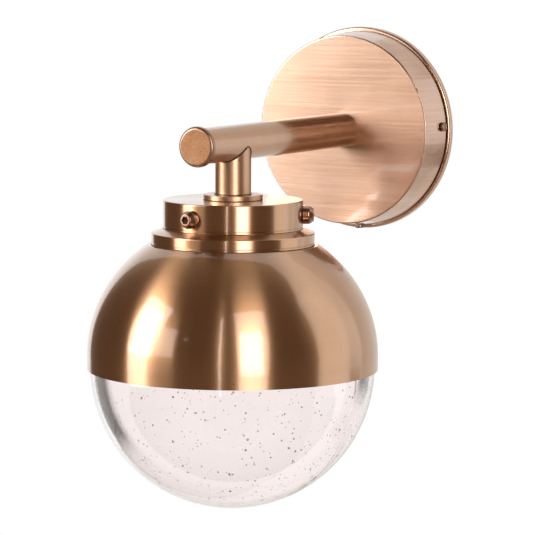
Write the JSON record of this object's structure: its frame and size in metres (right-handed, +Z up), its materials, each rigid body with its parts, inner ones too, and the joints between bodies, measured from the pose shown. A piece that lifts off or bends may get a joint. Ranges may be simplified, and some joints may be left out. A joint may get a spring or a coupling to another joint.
{
  "type": "outdoor wall light",
  "caption": "Wall light with a round base and cover, a straight arm with a hanging stem, a metal half dome and a clear glass globe clamped by side screws.",
  "frame": {"origin": "centre of the wall fixing slots, on the wall plane, at the back of the base; the arm's axis runs through it", "axes": "+Z up, +Y into the wall, the light stands out towards -Y, +X to the right seen from the room"},
  "size_m": [0.1626, 0.2313, 0.2644],
  "materials": {
    "antique_copper": "brushed, antique copper lacquer",
    "dark_copper": "polished, dark antique copper",
    "brass": "turned",
    "zinc_steel": "zinc plated",
    "spring_steel": "drawn wire",
    "seeded_glass": "clear blown glass with seeds",
    "porcelain": "glazed porcelain",
    "black_phenolic": "moulded",
    "white_nylon": "moulded",
    "epdm_rubber": "moulded",
    "silicone_rubber": "moulded",
    "brown_pvc": "wire insulation",
    "blue_pvc": "wire insulation",
    "green_yellow_pvc": "wire insulation"
  },
  "bodies": {
    "fitting": {"cover": "antique_copper", "wall_base": "antique_copper", "arm_tube": "antique_copper", "arm_end_cap": "antique_copper", "stem_tube": "antique_copper", "collar_ring": "antique_copper", "gallery": "antique_copper", "dome_ring": "antique_copper", "dome_shell": "antique_copper", "cover_screws": "dark_copper", "arm_bush": "brass", "stem_bush": "brass", "wall_nipple": "brass", "head_nipple": "brass", "terminal_inserts": "brass", "holder_terminals": "brass", "screw_shell": "brass", "wall_lock_nut": "zinc_steel", "wall_lock_washer": "zinc_steel", "head_lock_nut": "zinc_steel", "head_lock_washer": "zinc_steel", "terminal_screws": "zinc_steel", "terminal_fixing_screws": "zinc_steel", "earth_screw": "zinc_steel", "earth_washer": "zinc_steel", "earth_tag": "zinc_steel", "contact_spring": "spring_steel", "holder_core": "porcelain", "holder_cap": "black_phenolic", "holder_skirt": "black_phenolic", "terminal_block": "white_nylon", "wall_gasket": "epdm_rubber", "cable_grommet": "epdm_rubber", "neck_seal": "silicone_rubber", "live_wire": "brown_pvc", "neutral_wire": "blue_pvc", "earth_wire": "green_yellow_pvc"},
    "globe": {"glass_globe": "seeded_glass"},
    "contact": {"centre_contact": "brass"},
    "clamp_screw_front": {"clamp_screw_front": "dark_copper"},
    "clamp_screw_right": {"clamp_screw_right": "dark_copper"},
    "clamp_screw_left": {"clamp_screw_left": "dark_copper"}
  },
  "joints": [
    {"name": "globe_slide", "type": "slide", "parent": "fitting", "child": "globe", "axis": [0, 0, -1], "range_m": [0, 0.095]},
    {"name": "clamp_front_unscrew", "type": "slide", "parent": "fitting", "child": "clamp_screw_front", "axis": [-0.0698, -0.9976, 0], "range_m": [0, 0.003]},
    {"name": "clamp_right_unscrew", "type": "slide", "parent": "fitting", "child": "clamp_screw_right", "axis": [0.8988, 0.4384, 0], "range_m": [0, 0.003]},
    {"name": "clamp_left_unscrew", "type": "slide", "parent": "fitting", "child": "clamp_screw_left", "axis": [-0.829, 0.5592, 0], "range_m": [0, 0.003]},
    {"name": "contact_press", "type": "slide", "parent": "fitting", "child": "contact", "axis": [0, 0, 1], "range_m": [0, 0.0012], "stiffness_N_per_m": 2000, "deforming": ["contact_spring"]}
  ]
}
